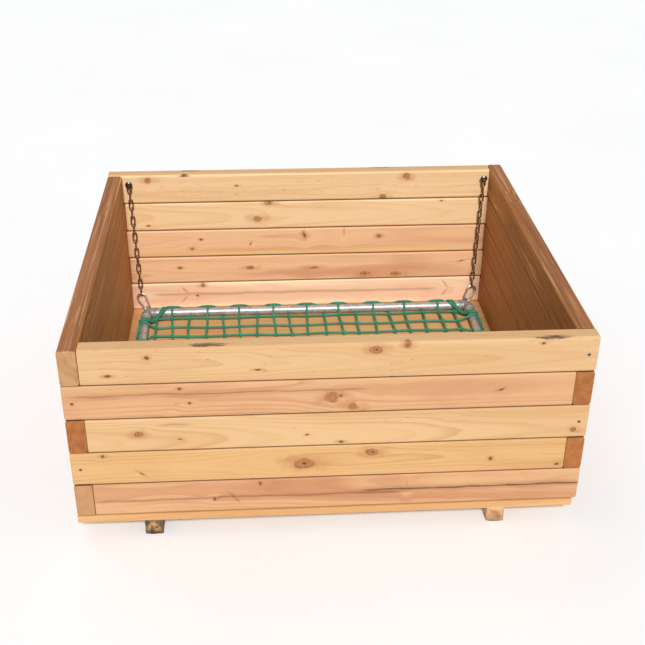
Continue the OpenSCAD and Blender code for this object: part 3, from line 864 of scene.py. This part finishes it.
def crossing(i, j):
    """Middle of the crossing of column i and row j. Rows are numbered from -7.5 to 7.5."""
    x = i * COLUMN_PITCH + COLUMN_WANDER * math.sin(1.9 * i + 0.9 * j) - COLUMN_LEAN * j
    y = NET_MIDDLE + j * ROW_PITCH + ROW_WANDER * math.sin(1.3 * i - 1.1 * j)
    edge = ROWS_PER_SIDE - 0.5 - abs(j)
    zigzag = EDGE_ZIGZAG * math.exp(-edge / ZIGZAG_ROWS)
    y += math.copysign(zigzag if passes_over(i) else -zigzag, j)
    return np.array([x, y, net_height(x, y)])


def around_pipe(over):
    """(out, up) places of a cord's end round a pipe, from inside the frame to the border cord."""
    if over:
        return [(math.cos(a) * WRAP_R, math.sin(a) * WRAP_R) for a in OVER_ANGLES]
    under = -(PIPE_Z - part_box("floor_panel")[1].z) + FLAT_HALF + 0.0003
    half = [(0.0085, under + 0.0008), (0.0165, -0.0115)]
    return [(-out, up) for out, up in reversed(half)] + [(0.0, under)] + half


def cord_shape(route, crossings):
    """Each cord swells where it passes through another, and is squeezed under the pipes."""
    swell = np.ones(len(route))
    for place in crossings:
        away = np.linalg.norm(route - place, axis=1)
        swell += CROSSING_SWELL * np.exp(-(away / CROSSING_REACH) ** 2)
    low = route[:, 2] < PIPE_Z - PIPE_R - 0.0008
    wide = np.maximum(abs(route[:, 0]) - PIPE_X, abs(route[:, 1] - NET_MIDDLE) - HALF_DEPTH)
    squeezed = low & (wide > -0.02)
    flat = np.where(squeezed, FLAT_HALF / CORD_R, 1.0)
    kernel = np.ones(5) / 5
    flat = np.convolve(np.pad(flat, 2, mode="edge"), kernel, mode="valid")
    return swell * CORD_R, flat


def add_cord(parts, points, crossings=(), phase=0.0, thickness=1.0):
    """A braided cord through points, swollen at its crossings."""
    route = smooth_route(points, CORD_STEP)
    radius, flat = cord_shape(route, crossings)
    parts.add(*sweep(route, radius * thickness, BRAID_SIDES, flat=flat, braid=BRAID_DEPTH, phase=phase))


def make_columns(material):
    """The cords that run from the rear pipe to the front pipe."""
    parts = Parts()
    for i in COLUMN_NUMBERS:
        inside = [crossing(i, j) for j in ROW_NUMBERS]
        ends = around_pipe(passes_over(i))
        front = [(inside[0][0], PIPE_FRONT - out, PIPE_Z + up) for out, up in reversed(ends)]
        back = [(inside[-1][0], PIPE_BACK + out, PIPE_Z + up) for out, up in ends]
        ride = [place + np.array([0, 0, KNOT_RISE]) for place in inside]
        add_cord(parts, front + ride + back, ride, phase=0.37 * i)
    parts.piece("net_columns", material, "cover", "net_cord", ["net"])


def make_rows(material):
    """The cords that run from the left pipe to the right pipe."""
    parts = Parts()
    for number, j in enumerate(ROW_NUMBERS):
        inside = [crossing(i, j) for i in COLUMN_NUMBERS]
        ends = around_pipe(passes_over(number))
        left = [(-PIPE_X - out, inside[0][1], PIPE_Z + up) for out, up in reversed(ends)]
        right = [(PIPE_X + out, inside[-1][1], PIPE_Z + up) for out, up in ends]
        ride = [place - np.array([0, 0, KNOT_RISE]) for place in inside]
        add_cord(parts, left + ride + right, ride, phase=0.29 * number)
    parts.piece("net_rows", material, "cover", "net_cord", ["net"])


def make_knots(material):
    """A short tie of cord round each crossing, turned one way and the other by turns."""
    parts = Parts()
    angle = np.arange(KNOT_STEPS) * 2 * math.pi / KNOT_STEPS
    for row, j in enumerate(ROW_NUMBERS):
        for i in COLUMN_NUMBERS:
            way = math.pi / 4 * (1 if (i + row) % 2 else -1)
            along = np.array([math.cos(way), math.sin(way), 0])
            across = np.array([-along[1], along[0], 0])
            ring = crossing(i, j) + (along * KNOT_TIP * np.cos(2 * angle)[:, None]
                                     + across * KNOT_HALF_W * np.cos(angle)[:, None]
                                     + np.array([0, 0, KNOT_HALF_H]) * np.sin(angle)[:, None])
            parts.add(*sweep(ring, KNOT_CORD_R, KNOT_SIDES, up=along, closed=True))
    parts.piece("net_knots", material, "cover", "net_cord", ["net"])


def border_route(half, middle, crossings):
    """(along, out, up) places of the border cord beside one pipe. It lies high where a cord comes
    over the pipe, and low where one comes under it. crossings is (comes over, where) for each."""
    level, lift, drop = BORDER_ANGLES
    route = []
    for along in np.arange(-half, half, BORDER_POINT) + middle:
        high, low = (min(1, sum(math.exp(-((along - at) / BORDER_HUMP) ** 2)
                                for comes_over, at in crossings if comes_over == over))
                     for over in (True, False))
        angle = math.radians(level + lift * high - drop * low)
        route.append((along, BORDER_WRAP_R * math.cos(angle), BORDER_WRAP_R * math.sin(angle)))
    return route


def make_border(material):
    """The cord round the outside of the frame that every cord of the net ends on."""
    parts = Parts()
    half_x = COLUMNS_PER_SIDE * COLUMN_PITCH + BORDER_END
    half_y = (ROWS_PER_SIDE - 0.5) * ROW_PITCH + BORDER_END
    for way, j, axis_y in ((1, ROW_NUMBERS[-1], PIPE_BACK), (-1, ROW_NUMBERS[0], PIPE_FRONT)):
        columns = [(passes_over(i), crossing(i, j)[0]) for i in COLUMN_NUMBERS]
        route = [(x, axis_y + way * out, PIPE_Z + up) for x, out, up in border_route(half_x, 0, columns)]
        add_cord(parts, route, thickness=BORDER_R / CORD_R)
    for way in (-1, 1):
        rows = [(passes_over(n), crossing(way * COLUMNS_PER_SIDE, j)[1])
                for n, j in enumerate(ROW_NUMBERS)]
        route = [(way * (PIPE_X + out), y, PIPE_Z + up)
                 for y, out, up in border_route(half_y, NET_MIDDLE, rows)]
        add_cord(parts, route, thickness=BORDER_R / CORD_R)
    parts.piece("net_border", material, "cover", "net_cord", ["net"])


def make_corner_lashings(material):
    """At each corner the border's ends are gathered and cross slantwise to the side pipe."""
    parts = Parts()
    for side in (-1, 1):
        for end, axis_y in ((1, PIPE_BACK), (-1, PIPE_FRONT)):
            for strand in range(LASHING_STRANDS):
                apart = strand * LASHING_STEP
                route = [
                    (0.474 - apart, 0.0172, -0.001),
                    (0.477 - apart, 0.0125, 0.0118),
                    (0.480 - apart, 0.0005, 0.0172),
                    (0.486 - apart, -0.0125, 0.0120),
                    (0.495 - apart * 0.8, -0.0270, 0.0035 + apart * 0.25),
                    (0.504 - apart * 0.5, -0.0420 - apart * 0.3, 0.0005),
                    (0.5135, -0.0530 - apart * 0.9, 0.0035),
                    (0.5205, -0.0600 - apart, 0.0120),
                    (0.5325, -0.0655 - apart, 0.0172),
                    (0.5450, -0.0700 - apart, 0.0120),
                    (0.5498, -0.0730 - apart, 0.0),
                ]
                placed = [(side * x, axis_y + end * y, PIPE_Z + z) for x, y, z in route]
                add_cord(parts, placed, phase=0.4 * strand, thickness=0.96)
    parts.piece("net_corner_lashings", material, "cover", "net_cord", ["net"])


def make_net():
    """All the cords of the net, in one braided material."""
    material = cord_material()
    make_columns(material)
    make_rows(material)
    make_knots(material)
    make_border(material)
    make_corner_lashings(material)


# ---------------------------------------------------------------- chains

def joint_place(name):
    """Where a joint's axis lies, from the frame."""
    for joint in frame["joints"]:
        if joint["name"] == name:
            return np.array(joint["pos_m"], float)
    raise ValueError(name)


def link_loop():
    """Centre line of one link in the XZ plane, its long way up."""
    radius = LINK_INNER_W / 2 + LINK_WIRE_R
    straight = (LINK_PITCH + LINK_PLAY) / 2 - LINK_INNER_W / 2
    arc = np.linspace(0, math.pi, 13)
    top = np.column_stack([radius * np.cos(arc), np.zeros(13), straight + radius * np.sin(arc)])
    side = np.linspace(straight, -straight, 7)[1:-1]
    left = np.column_stack([np.full(5, -radius), np.zeros(5), side])
    right = left[::-1] * (-1, 1, 1)
    return np.vstack([top, left, -top, right])


def chain_twist(side, i):
    """How far link i is turned out of the plain quarter-turn order, in radians."""
    if side == "right":
        return math.radians(34) * math.sin(math.pi * i / CHAIN_LINKS)
    return math.radians(22) * math.exp(-((i - 9.5) / 1.8) ** 2)


def make_chain(side, material):
    """The links above the end link, a little twisted, each with its weld."""
    top = joint_place(side + "_chain_swing")
    bottom = joint_place(side + "_hook_lean")
    down = (bottom - top) / np.linalg.norm(bottom - top)
    loop = link_loop()
    weld = 1 + WELD_SWELL * np.exp(-((loop[:, 2] / WELD_REACH) ** 2)) * (loop[:, 0] > 0)
    half = (LINK_PITCH + LINK_PLAY) / 2 - LINK_INNER_W / 2
    parts = Parts()
    lean = np.array([[-down[2], 0, down[0]], [0, 1, 0], [-down[0], 0, -down[2]]])
    for i in range(CHAIN_LINKS):
        angle = (math.pi / 2 if i % 2 else 0) + chain_twist(side, i)
        c, k = math.cos(angle), math.sin(angle)
        turn = np.array([[c, -k, 0], [k, c, 0], [0, 0, 1]])
        across = lean @ turn @ np.array([0, 1, 0])
        points = loop @ (lean @ turn).T + top + down * (half + LINK_PITCH * i)
        parts.add(*sweep(points, LINK_WIRE_R * weld, 12, up=across, closed=True))
    parts.piece(side + "_chain_links", material, side + "_chain", "chain_steel", [side + "_chain"])


def spin(profile, sides, axis_place, lobes):
    """Points and faces of a turned body. profile is (radius, depth), with depth along +Y from
    axis_place. lobes gives each ring's share of a six-lobed outline."""
    points = []
    for n, (radius, depth) in enumerate(profile):
        for k in range(sides):
            a = 2 * math.pi * k / sides
            r = radius * (1 + lobes[n] * math.cos(6 * a))
            points.append(np.array(axis_place) + (r * math.cos(a), depth, r * math.sin(a)))
    return np.array(points), ring_faces(len(profile), sides, False)


def make_chain_screw(side, material):
    """Domed screw with a six-lobed drive. Its neck carries the first link."""
    low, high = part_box(side + "_chain_screw")
    top = joint_place(side + "_chain_swing")
    head_r = (high.z - low.z) / 2
    front = low.y - top[1]
    neck_r = LINK_INNER_W / 2 - LINK_PLAY
    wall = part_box("back_plank_1")[0].y - top[1]
    dome_r = (head_r ** 2 + DOME_H ** 2) / (2 * DOME_H)

    def dome(r):
        return front + dome_r - math.sqrt(dome_r ** 2 - r ** 2)

    profile = [(0.0004, front + DRIVE_DEPTH), (DRIVE_R * 0.86, front + DRIVE_DEPTH * 0.9),
               (DRIVE_R, dome(DRIVE_R))]
    lobes = [0, 0.17, 0.17]
    for share in (0.5, 0.65, 0.8, 0.9, 0.97):
        profile.append((head_r * share, dome(head_r * share)))
        lobes.append(0)
    profile += [(head_r, dome(head_r) - 0.0003), (head_r, dome(head_r)), (head_r * 0.97, front + DOME_H),
                (neck_r, front + DOME_H), (neck_r, wall)]
    reach = high.y - low.y
    for n in range(THREAD_RIDGES):
        depth = wall + (front + reach - wall - 0.003) * (n + 0.5) / THREAD_RIDGES
        profile.append((THREAD_R if n % 2 else THREAD_R * 0.76, depth))
    profile.append((0.0008, front + reach))
    lobes += [0] * (len(profile) - len(lobes))
    points, faces = spin(profile, 48, top, lobes)
    add_piece(side + "_chain_screw_turned", points, faces, material, "root",
              [side + "_chain_screw"])


# ---------------------------------------------------------------- cover frame

def make_elbow(end, side, material):
    """Malleable elbow: a bend with a rounded bead round each mouth."""
    node = f"{end}_{side}_elbow"
    low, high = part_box(node)
    way_x = -1 if side == "left" else 1
    way_y = 1 if end == "back" else -1
    axis_y = PIPE_BACK if end == "back" else PIPE_FRONT
    corner = np.array([way_x * PIPE_X, axis_y, PIPE_Z])
    reach = high.x - low.x - ELBOW_BEAD_R
    bend = reach - ELBOW_GRIP
    straight = np.linspace(reach, bend, 22)[:-1]
    arc = np.linspace(0, math.pi / 2, 16)
    first = np.column_stack([straight, np.zeros(21), np.zeros(21)])
    curve = np.column_stack([bend - bend * np.sin(arc), bend - bend * np.cos(arc), np.zeros(16)])
    second = first[::-1][:, [1, 0, 2]]
    route = np.vstack([first, curve, second])
    gone = np.concatenate([[0], np.cumsum(np.linalg.norm(np.diff(route, axis=0), axis=1))])
    to_mouth = np.minimum(gone, gone[-1] - gone)
    bead = np.clip(1 - ((to_mouth - ELBOW_BEAD_W / 2) / (ELBOW_BEAD_W / 2)) ** 2, 0, 1)
    radius = ELBOW_R + (ELBOW_BEAD_R - ELBOW_R) * np.sqrt(bead)
    radius[[0, -1]] = ELBOW_R
    route = corner + route * (-way_x, -way_y, 1)
    points, faces, _ = sweep(route, radius, 40, up=(0, 0, 1))
    add_piece(node + "_cast", points, faces, material, "cover", [node])


# ---------------------------------------------------------------- skids

def make_skid(side, material, notch):
    """Rough, weathered runner. notch is (from the front end, length, depth) at its bottom edge."""
    node = side + "_skid"
    low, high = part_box(node)
    middle = (low + high) / 2
    half_w, half_h = (high.x - low.x) / 2, (high.z - low.z) / 2
    outline = []
    for quarter, (sx, sz) in enumerate(((1, 1), (-1, 1), (-1, -1), (1, -1))):
        for k in range(4):
            a = (quarter + k / 3) * math.pi / 2
            outline.append((sx * (half_w - SKID_ROUND) + SKID_ROUND * math.cos(a),
                            sz * (half_h - SKID_ROUND) + SKID_ROUND * math.sin(a)))
    dense = []
    for n, (x, z) in enumerate(outline):
        nx, nz = outline[(n + 1) % len(outline)]
        steps = 7 if n % 4 == 3 else 1
        dense += [(x + (nx - x) * k / steps, z + (nz - z) * k / steps) for k in range(steps)]
    points = []
    places = np.concatenate([np.linspace(0, FINE_RINGS_TO, 41),
                             np.linspace(FINE_RINGS_TO, high.y - low.y, 120)[1:]])
    for gone in places:
        for x, z in dense:
            rough = noise.fractal(Vector((x * 60, gone * 14, z * 60 + middle.x * 9)), 0.8, 2.1, 4)
            inward = SKID_ROUGH * (rough + 0.6)
            chipped = max(0.0, noise.noise(Vector((x * 160, z * 160, 3))) + 0.5)
            end_wear = SKID_END_WEAR * math.exp(-gone / 0.006) * chipped if gone < 0.01 else 0
            px, pz = x * (1 - inward / half_w), z * (1 - inward / half_h)
            bite = 0.0
            if notch:
                start, length, depth = notch
                t = (gone - start) / length
                if 0 < t < 1 and z < 0:
                    ragged = 0.75 + 0.5 * noise.noise(Vector((gone * 240, x * 90, 1)))
                    bite = depth * math.sin(math.pi * t) ** 0.5 * ragged * (-z / half_h)
            pz = max(pz + bite, -half_h)
            points.append((middle.x + px, low.y + gone + end_wear, middle.z + pz))
    faces = ring_faces(len(places), len(dense), False)
    add_piece(node + "_weathered", points, faces, material, "root",
              [node])


# ---------------------------------------------------------------- stage

def make_floor():
    """The pale studio floor under the skids."""
    mesh = bpy.data.meshes.new("floor")
    corners = [(x * FLOOR_HALF, y * FLOOR_HALF, 0) for x, y in ((-1, -1), (1, -1), (1, 1), (-1, 1))]
    mesh.from_pydata(corners, [], [(0, 1, 2, 3)])
    floor = bpy.data.objects.new("floor", mesh)
    bpy.context.scene.collection.objects.link(floor)
    s = Shader("floor", roughness=0.9, specular=0.1)
    pale = s.mix(s.noise(s.place(), 3, 0.5, 1.5), linear("#f3f5f8"), linear("#fafcff"))
    mesh.materials.append(s.finish(pale))


# ---------------------------------------------------------------- the object

def paint_metal():
    zinc = metal("pipe_zinc", "#c9cacb", "#a3a5a7", 0.46, grain=150, metallic=0.55)
    cast = metal("elbow_zinc", "#b3b2b0", "#837f7b", 0.52, grain=420, relief=0.0002, metallic=0.5)
    hook = metal("hook_zinc", "#c9cbcd", "#8d8f92", 0.26, grain=500)
    chain = metal("chain_steel", "#b3a799", "#7a6757", 0.36, grain=700, stain="#6b4a33", relief=0.0001)
    screw = metal("screw_dark", "#86817d", "#4c4643", 0.36, grain=600, relief=0.0001)
    shine = metal("screw_zinc", "#9b9895", "#575350", 0.3, grain=700, relief=0.0001)
    for node in ("front_pipe", "back_pipe", "left_pipe", "right_pipe"):
        paint(node, zinc)
    for side in ("left", "right"):
        for end in ("front", "back"):
            make_elbow(end, side, cast)
        paint(side + "_eye", cast)
        for part in ("hook", "hook_gate", "hook_rivet"):
            paint(f"{side}_{part}", hook)
        make_chain(side, chain)
        paint(side + "_end_link", chain)
        make_chain_screw(side, screw)
    for node in ("front_corner_screws", "back_corner_screws", "left_corner_screws", "right_corner_screws",
                 "base_screws", "skid_screws"):
        paint(node, shine)


def make_skids():
    dark = wood("skid_dark", "y", "grey", seed=51, pith=(-0.42, -0.05), wear=0.85)
    tan = wood("skid_tan", "y", "straw", seed=57, pith=(0.44, -0.04), wear=0.12)
    make_skid("left", dark, None)
    make_skid("right", tan, RIGHT_SKID_NOTCH)


make_camera()
make_lights()
make_floor()
paint_planks()
paint_hidden_wood()
make_skids()
paint_metal()
make_net()
